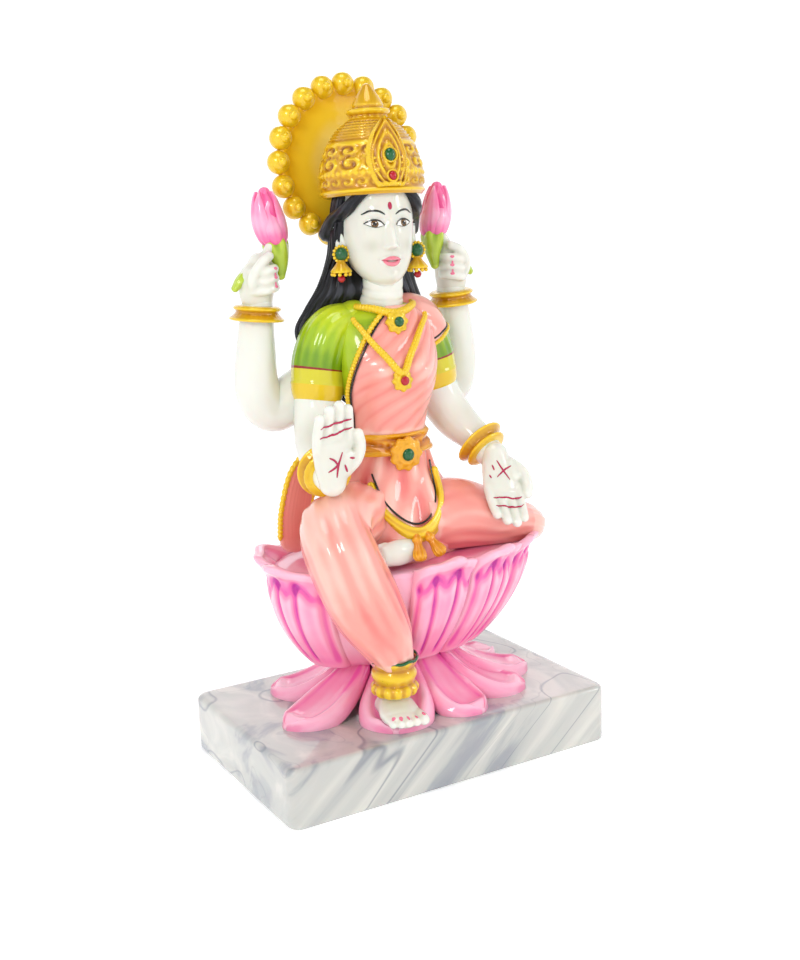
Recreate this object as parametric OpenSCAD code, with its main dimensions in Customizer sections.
// Seated four-armed goddess on a lotus, on a rectangular marbled plinth, with a beaded halo.
// Frame: millimetres, origin at the centre of the plinth's underside, +Z up.
// The figure faces -Y, so its right hand is on the -X side.

/* [Plinth] */
// Width of the plinth across the front
plinth_w = 97; // [84:1:120]
// Depth of the plinth, front to back
plinth_d = 62; // [60:1:80]
// Height of the plinth
plinth_h = 16; // [10:0.5:24]
// Radius of the plinth's upright corners
plinth_corner = 3; // [2:0.5:5]
// Radius of the plinth's top edge
plinth_edge = 1.6; // [0.8:0.2:2]

/* [Lotus seat] */
// Width of the lotus at its waist, between the two rows of petals
waist_w = 51; // [42:1:58]
// Depth of the lotus at its waist
waist_d = 28; // [24:1:32]
// Height of the waist above the plinth
waist_h = 13; // [9:0.5:16]
// Width of the bowl below its flared lip
bowl_w = 78; // [62:1:84]
// Depth of the bowl below its flared lip
bowl_d = 50; // [42:1:54]
// Height of the bowl's lip above the waist
bowl_h = 31; // [26:0.5:37]
// How far the bowl leans to the figure's left at its lip
bowl_lean = 3; // [0:0.5:4]
// How far each petal's lip flares out
lip_flare = 3.6; // [1:0.1:4.5]
// Thickness of a bowl petal
petal_t = 1.8; // [1.2:0.1:2.4]
// Height of the seat above the waist, where the figure sits
seat_h = 27; // [22:0.5:30]
// Width of the ring of base petal tips
base_w = 80; // [66:1:84]
// Depth of the ring of base petal tips
base_d = 58; // [50:1:59]
// Thickness of a base petal's tip
base_tip_t = 2.2; // [1.5:0.1:4]

/* [Body] */
// Height from the seat to the belt
hip_h = 31; // [26:0.5:36]
// Height from the belt to the shoulders
torso_h = 32; // [27:0.5:38]
// Width of the body at the waist
waist_body_w = 19; // [16:0.5:23]
// Width of the body at the chest
chest_w = 26.5; // [23:0.5:31]
// Depth of the body at the chest
chest_d = 19.5; // [16:0.5:23]
// Width of the hips on the seat
hip_w = 38; // [32:1:42]
// Radius of the neck
neck_r = 5.3; // [4.5:0.1:6]
// Thickness of the draped cloth
cloth_t = 1.1; // [0.8:0.1:1.6]

/* [Limbs] */
// Radius of the hanging leg at the knee
knee_r = 9; // [7.5:0.1:10]
// Radius of the ankle cuff
ankle_r = 5.8; // [5:0.1:6.5]
// Radius of a sleeve
sleeve_r = 7.4; // [6.4:0.1:8.6]
// Radius of an upper arm below the sleeve
arm_r = 6; // [5:0.1:6.4]
// Radius of a wrist
wrist_r = 4; // [3.4:0.1:4.6]
// Sideways reach of the rear elbows
rear_reach = 30; // [27:0.5:35]
// Length of a rear forearm, elbow to wrist
rear_forearm = 27; // [22:0.5:30]
// Radius of the wire of a bangle
bangle_wire = 1.4; // [1:0.1:1.8]
// Width of a hand
hand_w = 13.2; // [11:0.2:15]
// Length of a hand
hand_l = 21; // [18:0.5:24]

/* [Head and halo] */
// Height from the shoulders to the middle of the head
head_rise = 22; // [20:0.5:25]
// Width of the head
head_w = 19; // [17:0.5:21]
// Depth of the head
head_d = 21.6; // [19:0.5:24]
// Height of the head, chin to top
head_h = 33; // [30:0.5:36]
// Turn of the head to the figure's right, in degrees
head_turn = 8; // [0:1:15]
// Radius of the crown's rim
crown_r = 13; // [12:0.1:14.5]
// Height of the crown above its rim, without the finial
crown_h = 19.5; // [17:0.5:22]
// Height from the middle of the head to the halo's centre
halo_rise = 17.4; // [16:0.2:21]
// Outer radius of the halo over its beads
halo_r = 21.6; // [18:0.2:23]
// Thickness of the halo's plate
halo_t = 2.4; // [1.6:0.1:3.2]
// Number of beads around the halo
halo_beads_n = 20; // [16:1:24]

/* [Hidden] */
gap = 0.1;              // clearance between pieces that are fitted together
limb_sides = 14;        // sides of an arm or leg
body_sides = 20;        // sides of the torso, hips, head and hair

waist_z = plinth_h + waist_h;
lip_z = waist_z + bowl_h;
seat_z = waist_z + seat_h;
belt_z = seat_z + hip_h;
shoulder_z = belt_z + torso_h;
head_z = shoulder_z + head_rise;
halo_z = head_z + halo_rise;
rim_z = head_z + 9.5;   // the crown's rim, across the forehead
head_x = -0.5;          // the head leans a little to the figure's right
head_y = 2;
halo_y = 17;

// Places around the lotus's oval where petals stand, in degrees from +X
base_turns = [-165, -114, -76, -43, -14, 20, 58, 98, 140];
foot_petal = 1; // the base petal that the foot stands on
// Where one bowl petal ends and the next begins; the hanging leg fills the gap between last and first
bowl_edges = [-105, -77, -50, -20, 14, 48, 82, 120, 168, 219];

// ---- Curves and surfaces ----

function unit(v) = v / norm(v);

function place(row) = [row[0], row[1], row[2]];

// A point between p1 and p2 on a Catmull-Rom curve
function curve_point(p0, p1, p2, p3, t) =
    0.5 * (2 * p1 + (p2 - p0) * t + (2 * p0 - 5 * p1 + 4 * p2 - p3) * t * t
        + (3 * p1 - p0 - 3 * p2 + p3) * t * t * t);

// Rows put in between the given rows, so that each span has k steps
function smooth(rows, k) = let (n = len(rows) - 1) [
    for (i = [0:n - 1], j = [0:k - 1])
        curve_point(rows[max(i - 1, 0)], rows[i], rows[i + 1], rows[min(i + 2, n)], j / k),
    rows[n]
];

function heading(rows, i) =
    unit(place(rows[min(i + 1, len(rows) - 1)]) - place(rows[max(i - 1, 0)]));

// Two smaller rows past an end, which round it off; way is the direction out of the end
function dome_rows(row, way) = [for (s = [[0.55, 0.82], [0.9, 0.4]])
    let (r = (row[3] + row[4]) / 2, c = place(row) + way * r * s[0])
        [c[0], c[1], c[2], row[3] * s[1], row[4] * s[1]]];

function rounded(rows, start, end) = let (last = len(rows) - 1, way = heading(rows, last),
        back = -heading(rows, 0), first = dome_rows(rows[0], back)) concat(
    start ? [first[1], first[0]] : [],
    rows,
    end ? dome_rows(rows[last], way) : []
);

// Oval rings square to a path of rows [x, y, z, radius along side, other radius]
function oval_rings(rows, side, n) = [for (i = [0:len(rows) - 1])
    let (t = heading(rows, i), a = unit(side - t * (side * t)), b = cross(t, a))
        [for (j = [0:n - 1])
            place(rows[i]) + a * rows[i][3] * cos(360 * j / n) + b * rows[i][4] * sin(360 * j / n)]];

// A closed solid through a stack of rings, with flat ends
module skin(rings) {
    n = len(rings[0]);
    m = len(rings);
    polyhedron(
        points = [for (r = rings) each r],
        faces = concat(
            [for (i = [0:m - 2], j = [0:n - 1], k = [0, 1]) let (a = i * n + j, b = i * n + (j + 1) % n)
                k == 0 ? [a, b + n, b] : [a, a + n, b + n]],
            [[for (j = [0:n - 1]) j], [for (j = [n - 1:-1:0]) (m - 1) * n + j]]
        )
    );
}

// A limb that follows rows, with its ends rounded where asked
module limb(rows, side, steps = 2, n = limb_sides, start = false, end = true) {
    skin(oval_rings(rounded(smooth(rows, steps), start, end), side, n));
}

// A closed wall between two grids of points. Columns run round and rows run up, seen from outside.
module wall(outer, inner, wrap = false) {
    m = len(outer);
    n = len(outer[0]);
    far = m * n;
    turns = wrap ? n - 1 : n - 2;
    polyhedron(
        points = concat([for (r = outer) each r], [for (r = inner) each r]),
        faces = concat(
            [for (i = [0:m - 2], j = [0:turns], k = [0:3])
                let (a = i * n + j, b = i * n + (j + 1) % n, c = a + n, d = b + n)
                    [[a, d, b], [a, c, d], [a + far, b + far, d + far], [a + far, d + far, c + far]][k]],
            [for (j = [0:turns], k = [0, 1]) let (a = j, b = (j + 1) % n)
                k == 0 ? [a, b, b + far] : [a, b + far, a + far]],
            [for (j = [0:turns], k = [0, 1]) let (a = (m - 1) * n + j, b = (m - 1) * n + (j + 1) % n)
                k == 0 ? [a, b + far, b] : [a, a + far, b + far]],
            wrap ? [] : [for (i = [0:m - 2], k = [0, 1]) let (a = i * n, c = a + n)
                k == 0 ? [a, a + far, c + far] : [a, c + far, c]],
            wrap ? [] : [for (i = [0:m - 2], k = [0, 1]) let (a = i * n + n - 1, c = a + n)
                k == 0 ? [a, c + far, a + far] : [a, c, c + far]]
        )
    );
}

function mirrored(rows) = [for (r = rows) [-r[0], r[1], r[2], r[3], r[4]]];

// ---- Plinth ----

// Cross-section of the plinth's corner, from its upright axis outwards
module corner_section() {
    difference() {
        square([plinth_corner, plinth_h]);
        translate([plinth_corner - plinth_edge, plinth_h - plinth_edge]) square(plinth_edge + 1);
    }
    translate([plinth_corner - plinth_edge, plinth_h - plinth_edge]) intersection() {
        circle(plinth_edge, $fn = 48);
        square(plinth_edge);
    }
}

module plinth() {
    inner_w = plinth_w - 2 * plinth_corner;
    inner_d = plinth_d - 2 * plinth_corner;
    color("gainsboro") {
        translate([-inner_w / 2, -inner_d / 2, 0]) cube([inner_w, inner_d, plinth_h]);
        for (k = [0:3]) {
            run = k % 2 == 0 ? inner_w : inner_d;
            out = k % 2 == 0 ? inner_d / 2 : inner_w / 2;
            rotate([0, 0, 90 * k]) {
                translate([run / 2, -out, 0]) rotate([90, 0, -90]) linear_extrude(run) corner_section();
                translate([run / 2, out, 0]) rotate_extrude(angle = 90, $fn = 64) corner_section();
            }
        }
    }
}

// ---- Lotus seat ----

// Half width, half depth and height of the bowl at a share v of the way from its waist to its lip
function bowl_at(v) = let (
        open = lookup(v, [[0, 0], [0.2, 0.42], [0.45, 0.74], [0.7, 0.92], [0.9, 1], [1, 1]]),
        flare = lookup(v, [[0.86, 0], [0.95, 0.5], [1, 1]]) * lip_flare
    ) [waist_w / 2 + (bowl_w - waist_w) / 2 * open + flare,
        waist_d / 2 + (bowl_d - waist_d) / 2 * open + flare * 0.75,
        waist_z + bowl_h * v];

function bowl_point(v, turn, inset) = let (s = bowl_at(v))
    [bowl_lean * v + (s[0] - inset) * cos(turn), (s[1] - inset) * sin(turn), s[2]];

core_inset = petal_t + gap;

function core_ring(v, inset) = [for (j = [0:27]) bowl_point(v, 360 * j / 28, inset)];

function foot_ring(share, z) = [for (j = [0:27])
    [(waist_w / 2 - core_inset) * share * cos(360 * j / 28), (waist_d / 2 - core_inset) * share * sin(360 * j / 28), z]];

module core_shape() {
    skin(concat(
        [foot_ring(0.96, plinth_h), foot_ring(1, plinth_h + waist_h * 0.6)],
        [for (v = [0, 0.2, 0.45, 0.7, seat_h / bowl_h]) core_ring(v, core_inset)]
    ));
}

module lotus_core() {
    color("lightpink") difference() {
        core_shape();
        right_leg_shape();
    }
}

// Half of the share of the oval that base petal i fills
function base_share(i) = let (n = len(base_turns), a = base_turns[(i + n - 1) % n], b = base_turns[(i + 1) % n],
        before = (base_turns[i] - a + 360) % 360, after = (b - base_turns[i] + 360) % 360)
    0.235 * (before + after);

// A base petal's top: v runs from its tip (0) up to the waist (1), and u across it from -1 to 1
function base_top(i, u, v) = let (
        reach = 1 - v,
        turn = base_turns[i] + u * base_share(i) * (v < 0.5 ? sqrt(max(0, 1 - pow(1 - 2 * (v + 0.06) / 1.12, 2))) : 1),
        half_w = waist_w / 2 + (base_w - waist_w) / 2 * reach,
        half_d = waist_d / 2 + (base_d - waist_d) / 2 * reach,
        rise = base_tip_t + (waist_h - base_tip_t - 1) * pow(v, 1.5),
        crown_of_petal = 1.3 * (1 - u * u) * sin(180 * min(1, v + 0.1))
    ) [half_w * cos(turn), half_d * sin(turn), plinth_h + (rise + crown_of_petal) * (1 - 0.3 * u * u)];

module base_petal(i) {
    rows = [0, 0.1, 0.25, 0.45, 0.7, 1];
    top = [for (v = rows) [for (u = [-1:0.4:1]) base_top(i, u, v)]];
    under = [for (r = top) [for (q = r) [q[0], q[1], plinth_h]]];
    color("hotpink") difference() {
        wall(top, under);
        if (i == foot_petal) right_foot_shape();
        core_shape();
    }
}

// A bowl petal: v runs up from the waist, u across from -1 to 1, and its lip is scalloped
function bowl_petal_point(i, u, v, inset) = let (
        middle = (bowl_edges[i] + bowl_edges[i + 1]) / 2,
        half = (bowl_edges[i + 1] - bowl_edges[i]) / 2
    ) bowl_point(v * (1 - 0.1 * u * u), middle + u * half, inset);

module bowl_petal_shape(i) {
    rows = [0, 0.2, 0.42, 0.64, 0.84, 0.93, 1];
    outer = [for (v = rows) [for (u = [-1:0.4:1]) bowl_petal_point(i, u, v, 0)]];
    inner = [for (v = rows) [for (u = [-1:0.4:1]) bowl_petal_point(i, u, v, petal_t)]];
    wall(outer, inner);
}

module bowl_petal(i) {
    beside_leg = i == 0 || i == len(bowl_edges) - 2;
    color("pink") difference() {
        bowl_petal_shape(i);
        if (beside_leg) right_leg_shape();
    }
}

// ---- Legs and lap ----

hip_rings = [ // height over the seat, middle y, half width, half depth
    [0, 0, hip_w * 0.46, 14.4], [6, -0.6, hip_w * 0.5, 15.4], [13, -0.3, hip_w * 0.46, 13.8],
    [21, 0.3, hip_w * 0.35, 11.2], [hip_h - 3, 0.5, hip_w * 0.29, 9.3]
];

// A point on the hips at a height over the seat and a turn from +X, raised by lift
function hip_point(h, turn, lift) = let (r = [for (k = [1, 2, 3]) lookup(h, [for (q = hip_rings) [q[0], q[k]]])])
    [(r[1] + lift) * cos(turn), r[0] + (r[2] + lift) * sin(turn), seat_z + h];

function level_ring(cx, cy, z, a, b, n) = [for (j = [0:n - 1])
    [cx + a * cos(360 * j / n), cy + b * sin(360 * j / n), z]];

module hip_shape() {
    skin([for (r = hip_rings) [for (j = [0:body_sides - 1]) hip_point(r[0], 360 * j / body_sides, 0)]]);
}

module hips() {
    color("lightsalmon") hip_shape();
}

right_leg_rows = [
    [-9, -2, seat_z + 12, 9, 8.5],
    [-17, -8, seat_z + 13.5, knee_r, knee_r],
    [-24.6, -14.2, seat_z + 12.2, knee_r, knee_r * 0.95],
    [-24.8, -19.4, seat_z + 5, knee_r * 1.03, knee_r],
    [-20.6, -21.4, seat_z - 6, knee_r * 1.05, knee_r * 0.95],
    [-15.8, -21.4, seat_z - 15, knee_r * 0.9, knee_r * 0.88],
    [-12.8, -20.6, plinth_h + 18.2, ankle_r, ankle_r]
];

module right_leg_shape() {
    limb(right_leg_rows, [1, 0, 0.2], n = 16, end = false);
}

module right_leg() {
    color("lightsalmon") difference() {
        right_leg_shape();
        hip_shape();
        left_leg_shape();
    }
}

left_leg_rows = [
    [5, -4, seat_z + 9.6, 9.4, 12],
    [16, -5.5, seat_z + 9.2, 9.4, 12.4],
    [26, -6.6, seat_z + 6.8, 7.6, 11.4],
    [37, -7.4, seat_z + 3.8, 5.4, 8]
];

module left_leg_shape() {
    limb(left_leg_rows, [0, 0, 1], n = 16);
}

module left_leg() {
    color("lightsalmon") difference() {
        left_leg_shape();
        hip_shape();
        core_shape();
        for (i = [0:len(bowl_edges) - 2]) bowl_petal_shape(i);
    }
}

foot_rows = [
    [-12.4, -17.5, plinth_h + 4.6, 4.6, 3.4],
    [-12.9, -21, plinth_h + 5.2, 5.2, 3.8],
    [-13.6, -25, plinth_h + 4.4, 5.8, 2.6],
    [-14, -27, plinth_h + 4, 5.2, 2]
];

module right_foot_shape() {
    limb(foot_rows, [1, 0, 0], start = true);
    translate([-12.8, -20.6, plinth_h + 5]) cylinder(h = 3.8, r = ankle_r - 0.4, $fn = 32);
}

module right_foot() {
    color("ivory") right_foot_shape();
}

module left_foot() {
    color("ivory") difference() {
        limb([[-3, -17, seat_z + 4.6, 4, 3], [-8, -18.6, seat_z + 5, 4.4, 3.4], [-13, -18.4, seat_z + 5, 3.6, 2.8]],
            [0, 0, 1], start = true);
        right_leg_shape();
        left_leg_shape();
        hip_shape();
        core_shape();
    }
}

// A gold cuff of two stacked bands between the foot and the skirt's hem
module ankle_cuff() {
    z0 = plinth_h + 8.8;
    h = 9.4;
    color("gold") translate([-12.8, -20.6, z0]) rotate_extrude($fn = 48) polygon([
        [0, 0], [ankle_r - 0.9, 0], [ankle_r - 0.1, 1], [ankle_r + 0.1, 2.6], [ankle_r - 0.6, 4],
        [ankle_r - 0.5, 5], [ankle_r, 6.4], [ankle_r - 0.7, 8.2], [ankle_r - 0.8, h], [0, h]
    ]);
}

// ---- Body ----

// Height above the belt, middle y, half width, half depth
torso_rings = [
    [-3, 0.6, waist_body_w * 0.58, 9.2],
    [1, 0.5, waist_body_w / 2, 7.9],
    [7, 0.4, waist_body_w * 0.53, 8.2],
    [13, 0, chest_w * 0.46, chest_d * 0.47],
    [19, -0.2, chest_w / 2, chest_d / 2],
    [25, 0.5, chest_w * 0.51, chest_d * 0.45],
    [30, 1, chest_w * 0.47, chest_d * 0.38],
    [torso_h + 1.5, 1.2, chest_w * 0.36, chest_d * 0.33],
    [torso_h + 3.6, 1.3, chest_w * 0.26, chest_d * 0.3]
];

function torso_row(h) = [for (k = [1, 2, 3]) lookup(h, [for (r = torso_rings) [r[0], r[k]]])];

// A point on the body at a height above the belt and a turn from +X, raised by lift
function body_point(h, turn, lift) = let (r = torso_row(h))
    [(r[1] + lift) * cos(turn), r[0] + (r[2] + lift) * sin(turn), belt_z + h];

module torso_shape() {
    skin([for (r = torso_rings) [for (j = [0:body_sides - 1]) body_point(r[0], 360 * j / body_sides, 0)]]);
}

module torso() {
    color("yellowgreen") torso_shape();
}

neck_base_z = belt_z + torso_h + 3.6;

module neck_shape() {
    skin([for (s = [[0, 0, 1.3, 1.12], [4, -0.3, 1.2, 1], [12, -1.2, 1.2, 0.98]])
        level_ring(s[1], s[2], neck_base_z + s[0], neck_r * s[3], neck_r * s[3], body_sides)]);
}

module neck() {
    color("ivory") difference() {
        neck_shape();
        head_shape();
    }
}

// Cloth that lies on the body between two turns at each height
module body_cloth(edges, low, high, steps) {
    rows = smooth([for (e = edges) [e[0], e[1], e[2]]], 2);
    function layer(lift) = [for (r = rows) [for (j = [0:steps]) body_point(r[0], r[1] + (r[2] - r[1]) * j / steps, lift)]];
    wall(layer(high), layer(low));
}

module sari_drape() {
    color("salmon") difference() {
        body_cloth([[4, -178, 35], [11, -170, 32], [18, -158, 26], [24, -142, 18], [29, -128, 24], [33, -118, 40]],
            gap, gap + cloth_t, 14);
        sleeve_shape(1);
        sleeve_shape(-1);
        front_arm_shape(-1);
    }
}

// The free end of the cloth, which crosses the back and hangs behind the right hip
module back_shawl() {
    color("lightcoral") difference() {
        limb([
            [-6, 10.6, belt_z + 4, 3.4, 0.8],
            [-13, 12.5, belt_z - 2, 4.2, 0.8],
            [-19, 13.4, belt_z - 9, 5, 0.8],
            [-22.5, 12.5, seat_z + 12, 5.6, 0.8],
            [-23.5, 11.5, seat_z + 4.5, 6, 0.8]
        ], [-1, -0.35, 0.3], start = true);
        torso_shape();
        hip_shape();
        core_shape();
        rear_arm_shape(-1);
        for (i = [0:len(bowl_edges) - 2]) bowl_petal_shape(i);
    }
}

module belt() {
    layer = function (lift, swell) [for (s = [[-2.9, 0], [-1.6, 1], [1, 1], [2.6, 0]])
        [for (j = [0:23]) body_point(s[0], 15 * j, lift + swell * s[1])]];
    color("goldenrod") wall(layer(gap + 0.8, 0.5), layer(gap, 0), wrap = true);
}

buckle_place = [-0.8, -10.4, belt_z - 2.6];

module belt_buckle() {
    color("gold") difference() {
        translate(buckle_place) rotate([90, 0, -4]) {
            rotate_extrude($fn = 48) polygon([[0, -1.5], [4.3, -1.5], [4.5, 0.5], [3.6, 1], [2.6, 1.1], [2.2, 2], [0, 2.2]]);
            for (k = [0:7]) rotate([0, 0, 45 * k]) translate([3.5, 0, 0.8]) sphere(0.75, $fn = 24);
        }
        torso_shape();
        hip_shape();
        belt_solid();
    }
}

// The belt's outer shape, filled in, which cuts what stands on it
module belt_solid() {
    skin([for (s = [[-2.9, 0.95], [-1.6, 1.5], [1, 1.5], [2.6, 0.95]])
        [for (j = [0:23]) body_point(s[0], 15 * j, s[1])]]);
}

// The gold hem that hangs in a U over the lap, with two short tails
module waist_sash() {
    marks = [[21, -137, 0.9], [14, -120, 1.1], [8.5, -98, 1.9], [9.5, -80, 2.1], [16, -62, 1.6], [24, -50, 1.1]];
    hem = [for (q = marks) let (c = hip_point(q[0], q[1], 0.5)) [c[0], c[1], c[2], q[2], 1.1]];
    color("goldenrod") difference() {
        union() {
            limb(hem, [0, 0, 1], start = true);
            limb([[-2.6, -16.4, seat_z + 8, 1.6, 0.9], [-3.6, -19, seat_z + 4.4, 2.3, 1]], [1, 0, 0], n = 10);
            limb([[1.6, -16.6, seat_z + 8.4, 1.2, 0.9], [3.4, -19.2, seat_z + 5.4, 1.8, 1]], [1, 0, 0], n = 10);
        }
        hip_shape();
        right_leg_shape();
        left_leg_shape();
        torso_shape();
        left_foot();
    }
}

// ---- Arms and hands; side is -1 for the figure's right and 1 for its left ----

function to_side(rows, side) = side < 0 ? rows : mirrored(rows);

sleeve_rows = [
    [-7, 4, shoulder_z - 0.5, sleeve_r * 0.74, sleeve_r * 0.74],
    [-12.6, 5.6, shoulder_z - 3.5, sleeve_r * 0.98, sleeve_r * 0.96],
    [-16, 6.2, shoulder_z - 10, sleeve_r * 1.02, sleeve_r * 0.98],
    [-17.4, 5.8, shoulder_z - 17, sleeve_r * 0.96, sleeve_r * 0.93]
];

module sleeve_shape(side) {
    limb(to_side(sleeve_rows, side), [side, 0, 0], end = false);
}

module sleeve(side) {
    color("olivedrab") difference() {
        sleeve_shape(side);
        torso_shape();
    }
}

cuff = sleeve_rows[3];

// The elbows hang between the cuffs and the wrists, whose heights go with the seat and knees
front_right_rows = [
    [cuff[0], cuff[1], cuff[2], arm_r, arm_r],
    [-18.8, 4.4, (cuff[2] + seat_z + 32) / 2, arm_r, arm_r],
    [-21.2, 0, seat_z + 32, arm_r * 0.96, arm_r * 0.96],
    [-24, -7.6, seat_z + 28, wrist_r * 1.15, wrist_r * 1.15],
    [-25.4, -14, seat_z + 26.6, wrist_r, wrist_r]
];
front_left_rows = [
    [-cuff[0], cuff[1], cuff[2], arm_r, arm_r],
    [19, 4.6, (cuff[2] + seat_z + 34) / 2, arm_r, arm_r],
    [22, 1.4, seat_z + 33.6, arm_r * 0.94, arm_r * 0.94],
    [24.8, -3.8, seat_z + 29, wrist_r * 1.12, wrist_r * 1.12],
    [26.2, -8.4, seat_z + 25.2, wrist_r, wrist_r]
];

module front_arm_shape(side) {
    limb(side < 0 ? front_right_rows : front_left_rows, [1, 0, 0], end = false);
}

module front_right_arm() {
    color("ivory") front_arm_shape(-1);
}

module front_left_arm() {
    color("ivory") front_arm_shape(1);
}

rear_elbow_z = shoulder_z - 22;
rear_wrist_z = rear_elbow_z + rear_forearm;
rear_rows = [
    [-9, 9, shoulder_z - 10, arm_r, arm_r],
    [-18, 12.4, shoulder_z - 18, arm_r * 1.04, arm_r * 1.04],
    [-rear_reach + 3.4, 14, rear_elbow_z - 0.6, arm_r * 1.04, arm_r * 1.04],
    [-rear_reach - 0.8, 14.2, rear_elbow_z + 5, arm_r, arm_r],
    [-rear_reach - 0.6, 14, rear_elbow_z + rear_forearm * 0.6, arm_r * 0.84, arm_r * 0.84],
    [-rear_reach + 0.4, 13.8, rear_wrist_z, wrist_r, wrist_r]
];

module rear_arm_shape(side) {
    limb(to_side(rear_rows, side), [0, 1, 0], end = false);
}

module rear_arm(side) {
    color("ivory") difference() {
        rear_arm_shape(side);
        torso_shape();
        sleeve_shape(side);
        front_arm_shape(side);
    }
}

// A raised right hand, palm to the front
raised_foot = [-25.6, -16.6, seat_z + 24.8];
raised_rows = [for (s = [[0, 0, 0.34, 3], [0.2, -1.2, 0.48, 3.1], [0.5, -2.2, 0.5, 2.7], [0.78, -2.4, 0.44, 2.2], [0.93, -2.2, 0.28, 1.6]])
    [raised_foot[0], raised_foot[1] + s[1], raised_foot[2] + hand_l * s[0], hand_w * s[2], s[3]]];

module front_right_hand() {
    color("ivory") difference() {
        limb(raised_rows, [1, 0, 0], start = true);
        front_arm_shape(-1);
        right_leg_shape();
        bangle_hole(front_right_rows, 4);
    }
}

// A lowered left hand, palm to the front, resting on the knee
lowered_rows = [for (s = [[0, 0.34, 3], [0.25, 0.48, 3], [0.6, 0.49, 2.5], [0.92, 0.28, 1.6]])
    [26.4 - 2.4 * s[0], -10.8 - 10.4 * s[0], seat_z + 23 - 15 * s[0], hand_w * s[1], s[2]]];

module front_left_hand() {
    color("ivory") difference() {
        limb(lowered_rows, [1, 0, 0], start = true);
        front_arm_shape(1);
        left_leg_shape();
        bangle_hole(front_left_rows, 4);
    }
}

// A rear hand: a closed fist with the first finger raised along the flower's stem
fist_rows = [
    [-rear_reach + 0.4, 13.8, rear_wrist_z, wrist_r * 0.94, wrist_r * 0.94],
    [-rear_reach + 0.4, 13.2, rear_wrist_z + 4.5, 5.4, 4.6],
    [-rear_reach + 0.8, 12.6, rear_wrist_z + 8.8, 5, 4.6],
    [-rear_reach + 2.2, 12.4, rear_wrist_z + 11.4, 3, 3.2]
];
finger_rows = [
    [-rear_reach + 3.6, 12.2, rear_wrist_z + 9, 1.9, 1.9],
    [-rear_reach + 4.4, 12, rear_wrist_z + 14, 1.7, 1.7]
];

module fist_shape(side) {
    limb(to_side(fist_rows, side), [1, 0, 0]);
    limb(to_side(finger_rows, side), [1, 0, 0], n = 10);
}

module rear_hand(side) {
    color("ivory") fist_shape(side);
}

// Where a limb's row is, and the way the limb runs there
module at_row(rows, k) {
    way = heading(rows, k);
    translate(place(rows[k])) rotate([0, acos(way[2]), atan2(way[1], way[0])]) children();
}

module bangle(rows, k) {
    at_row(rows, k) translate([0, 0, -2.2]) rotate_extrude($fn = 48)
        translate([rows[k][3] + bangle_wire + 0.35, 0]) circle(bangle_wire, $fn = 24);
}

module bangle_hole(rows, k) {
    at_row(rows, k) translate([0, 0, -2.2 - bangle_wire])
        cylinder(h = 2 * bangle_wire, r = rows[k][3] + 2 * bangle_wire + 0.5, $fn = 48);
}

module front_bangles() {
    color("gold") {
        bangle(front_right_rows, 4);
        bangle(front_left_rows, 4);
    }
}

module rear_bangles() {
    color("gold") for (side = [-1, 1]) bangle(to_side(rear_rows, side), 5);
}

bud_z = rear_wrist_z + 13.4;

module stem_shape(side) {
    rows = [
        [-rear_reach + 6.6, 11.8, rear_wrist_z + 7, 1.2, 1.1],
        [-rear_reach + 7, 12.2, rear_wrist_z + 10.4, 2.6, 2.2],
        [-rear_reach + 6.4, 12.8, bud_z + 1.6, 2.9, 2.6]
    ];
    limb(to_side(rows, side), [1, 0, 0], n = 12, start = true);
}

module lotus_stems() {
    color("olive") for (side = [-1, 1]) {
        difference() {
            stem_shape(side);
            fist_shape(side);
        }
        difference() {
            limb(to_side([[-rear_reach - 3.4, 13.2, rear_wrist_z + 7.6, 1.5, 1.2],
                [-rear_reach - 5.6, 13.2, rear_wrist_z + 4.6, 1.4, 1.1]], side), [1, 0, 0], n = 10);
            fist_shape(side);
        }
    }
}

module lotus_buds() {
    rows = [
        [-rear_reach + 6, 13, bud_z + 1.2, 3, 2.8], [-rear_reach + 5, 13.4, bud_z + 6, 5.4, 4.4],
        [-rear_reach + 4.4, 13.6, bud_z + 11, 4.8, 4], [-rear_reach + 4.2, 13.6, bud_z + 14.4, 2.4, 2.2]
    ];
    color("hotpink") for (side = [-1, 1]) difference() {
        limb(to_side(rows, side), [1, 0, 0]);
        stem_shape(side);
        fist_shape(side);
    }
}

// ---- Head, hair and crown ----

// Things on the head are drawn about its middle and turned with it
module on_head() {
    translate([head_x, head_y, head_z]) rotate([0, 0, -head_turn]) children();
}

// Height over the middle of the head, middle y, shares of its half width and half depth
head_rings = [
    [-0.41, -6, 0.2, 0.2], [-0.35, -4.4, 0.52, 0.5], [-0.24, -2.6, 0.8, 0.78], [-0.09, -1.1, 0.95, 0.94],
    [0.08, -0.4, 1, 1], [0.24, 0, 0.99, 1], [0.38, 0.4, 0.9, 0.93], [0.5, 0.9, 0.66, 0.7], [0.58, 1, 0.3, 0.34]
];

module head_shape() {
    on_head() skin([for (r = head_rings)
        level_ring(0, r[1], head_h * r[0], head_w / 2 * r[2], head_d / 2 * r[3], body_sides)]);
}

module head() {
    color("ivory") head_shape();
}

hair_rings = [ // height from the middle of the head, middle y, half width, half depth
    [13, 1.6, head_w / 2 - 0.6, 9.6], [8, 2, head_w / 2 + 1.5, 11], [1, 3.2, head_w / 2 + 2.1, 10.4],
    [-6, 5, head_w / 2 + 2.6, 9], [-13, 7.6, head_w / 2 + 4.6, 6.8], [-19, 9.6, head_w / 2 + 8, 5.2],
    [-25, 10.6, head_w / 2 + 10.8, 4.2], [-33, 10.8, head_w / 2 + 7.5, 3.4], [-41, 10.2, head_w / 2 + 1.5, 2.6],
    [-46, 9.4, head_w / 2 - 4, 1.6]
];

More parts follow.
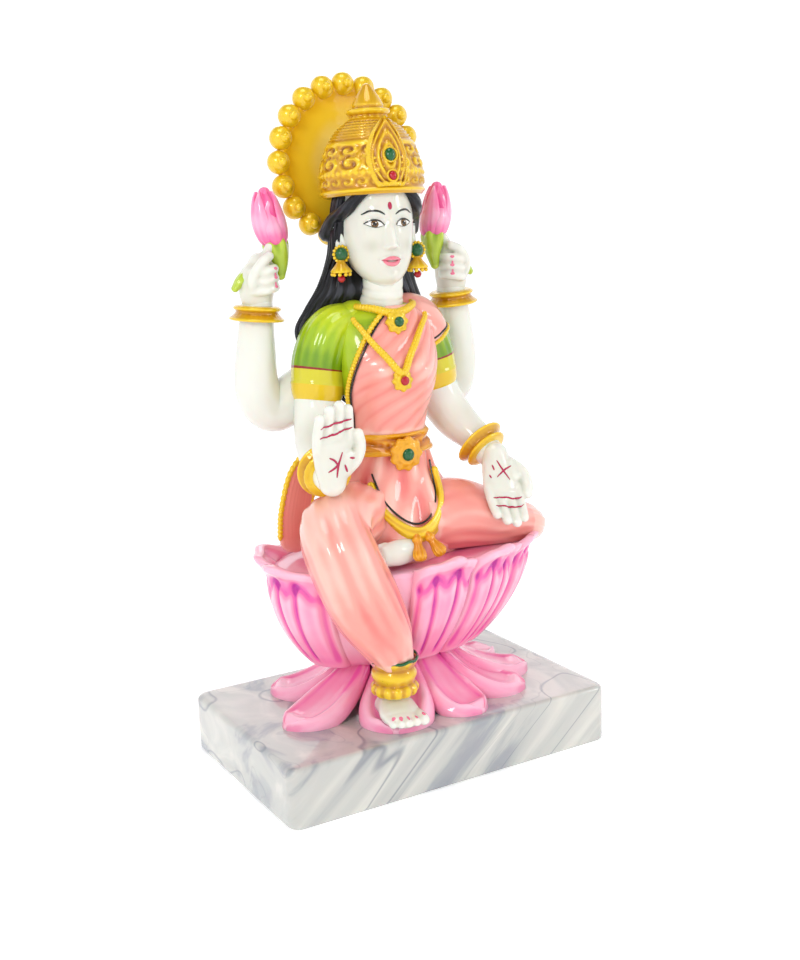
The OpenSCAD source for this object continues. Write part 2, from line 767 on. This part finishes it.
module hair_shape() {
    skin([for (k = [len(hair_rings) - 1:-1:0]) let (r = hair_rings[k])
        level_ring(head_x * 0.6, head_y + r[1], head_z + r[0], r[2], r[3], 24)]);
}

module hair() {
    color("black") difference() {
        hair_shape();
        head_shape();
        neck_shape();
        torso_shape();
        for (side = [-1, 1]) {
            sleeve_shape(side);
            rear_arm_shape(side);
        }
    }
}

crown_tilt = 3; // the crown leans back, in degrees

module on_crown() {
    on_head() translate([0, 0.6, rim_z - head_z]) rotate([-crown_tilt, 0, 0]) children();
}

crown_profile = [ // radius as a share of the rim's, height as a share of the crown's
    [1, 0], [1.02, 0.12], [1.01, 0.3], [0.93, 0.5], [0.82, 0.66], [0.68, 0.8], [0.5, 0.9], [0.36, 1]
];

module crown() {
    color("gold") difference() {
        crown_solid();
        head_shape();
        hair_shape();
    }
}

module crown_finial() {
    color("gold") on_crown() translate([0, 0, crown_h]) rotate_extrude($fn = 48)
        polygon([[0, 0], [4.2, 0], [5.2, 0.9], [5, 1.8], [3.8, 2.4], [3.4, 3], [2.4, 5], [1, 6.9], [0, 7.3]]);
}

// A leaf-shaped plate on the front of the crown, leaning back with it
module on_plaque() {
    on_crown() translate([0, -crown_r * 1.03, 1.2]) rotate([90 - 11, 0, 0]) children();
}

plaque_half = 5.6;
plaque_h = 17.5;

module plaque_shape() {
    on_plaque() translate([0, 0, -1.6]) linear_extrude(2.6)
        polygon([[-plaque_half, 0], [plaque_half, 0], [plaque_half * 1.1, plaque_h * 0.3], [plaque_half * 0.8, plaque_h * 0.62],
            [plaque_half * 0.35, plaque_h * 0.86], [0, plaque_h], [-plaque_half * 0.35, plaque_h * 0.86],
            [-plaque_half * 0.8, plaque_h * 0.62], [-plaque_half * 1.1, plaque_h * 0.3]]);
}

module crown_solid() {
    on_crown() rotate_extrude($fn = 64)
        polygon(concat([[0, 0]], [for (q = crown_profile) [crown_r * q[0], crown_h * q[1]]], [[0, crown_h]]));
}

module crown_plaque() {
    color("goldenrod") difference() {
        plaque_shape();
        crown_solid();
        head_shape();
        gem_shape(plaque_h * 0.42, 1.4);
        gem_shape(plaque_h * 0.12, 1);
    }
}

module gem_shape(up, r) {
    on_plaque() translate([0, up, 1]) sphere(r, $fn = 32);
}

module crown_emerald() {
    color("green") gem_shape(plaque_h * 0.42, 1.4);
}

module crown_ruby() {
    color("crimson") gem_shape(plaque_h * 0.12, 1);
}

module earrings() {
    color("gold") on_head() for (side = [-1, 1]) translate([side * (head_w / 2 + 0.6), -2.2, -4.5]) {
        translate([0, 0, 0.4]) sphere(1.3, $fn = 24);
        rotate_extrude($fn = 32) polygon([[0, 0], [0.9, -0.4], [1, -4], [2.1, -7], [1.9, -8.4], [0, -9.6]]);
    }
}

// ---- Halo ----

bead_r = 0.134 * halo_r * 20 / halo_beads_n;
bead_ring_r = halo_r - bead_r;

module on_halo() {
    translate([head_x * 0.7, halo_y, halo_z]) rotate([90, 0, 0]) children();
}

module bead_shape(k) {
    on_halo() rotate([0, 0, 360 * k / halo_beads_n + 90]) translate([bead_ring_r, 0, 0]) {
        sphere(bead_r, $fn = 32);
        translate([-bead_r * 0.25, 0, bead_r * 0.85]) sphere(bead_r * 0.42, $fn = 24);
    }
}

module halo_disc() {
    color("orange") difference() {
        on_halo() translate([0, 0, -halo_t / 2]) rotate_extrude($fn = 96)
            polygon([[0, 0], [bead_ring_r, 0], [bead_ring_r, halo_t], [bead_ring_r - 3, halo_t], [bead_ring_r * 0.5, halo_t * 0.7], [0, halo_t * 0.6]]);
        for (k = [0:halo_beads_n - 1]) bead_shape(k);
        hair_shape();
        crown_solid();
    }
}

module halo_beads() {
    color("gold") for (k = [0:halo_beads_n - 1]) bead_shape(k);
}

// ---- Necklaces ----

// Rows of a cord that lies on the chest through [height above the belt, turn] points
function chest_rows(marks, lift, r) = [for (q = marks) let (c = body_point(q[0], q[1], lift)) [c[0], c[1], c[2], r, r * 0.8]];

module long_necklace() {
    marks = [[32.6, -150], [30, -133], [24.5, -116], [19, -101], [24.5, -83], [30, -62], [32.6, -38]];
    color("gold") difference() {
        union() {
            limb(chest_rows(marks, cloth_t + gap + 0.9, 0.85), [0, 0, 1], n = 8, start = true);
            translate(body_point(17.2, -100, cloth_t + gap + 0.8)) rotate([90, 0, -8])
                rotate_extrude($fn = 32) polygon([[0, -0.6], [2.6, -0.6], [2.7, 0.4], [1.4, 1.2], [0, 1.4]]);
        }
        torso_shape();
        for (side = [-1, 1]) sleeve_shape(side);
    }
}

module short_necklace() {
    marks = [[35.6, -168], [35.1, -130], [33.8, -92], [35.1, -50], [35.6, -12]];
    color("gold") difference() {
        union() {
            limb(chest_rows(marks, 0.8, 0.8), [0, 0, 1], n = 8, start = true);
            translate(body_point(31.4, -92, cloth_t + gap + 0.9)) rotate([90, 0, -2])
                rotate_extrude($fn = 32) polygon([[0, -0.8], [2.8, -0.8], [3, 0.3], [1.6, 1.1], [0, 1.3]]);
        }
        neck_shape();
        torso_shape();
    }
}

// ---- Which piece is drawn ----

plinth();
lotus_core();
for (i = [0:len(base_turns) - 1]) base_petal(i);
for (i = [0:len(bowl_edges) - 2]) bowl_petal(i);
hips();
right_leg();
left_leg();
right_foot();
left_foot();
ankle_cuff();
torso();
neck();
sari_drape();
back_shawl();
belt();
belt_buckle();
waist_sash();
sleeve(-1);  // right_sleeve
sleeve(1);  // left_sleeve
front_right_arm();
front_left_arm();
rear_arm(-1);  // rear_right_arm
rear_arm(1);  // rear_left_arm
front_right_hand();
front_left_hand();
rear_hand(-1);  // rear_right_hand
rear_hand(1);  // rear_left_hand
front_bangles();
rear_bangles();
lotus_buds();
lotus_stems();
head();
hair();
crown();
crown_finial();
crown_plaque();
crown_emerald();
crown_ruby();
halo_disc();
halo_beads();
earrings();
short_necklace();
long_necklace();
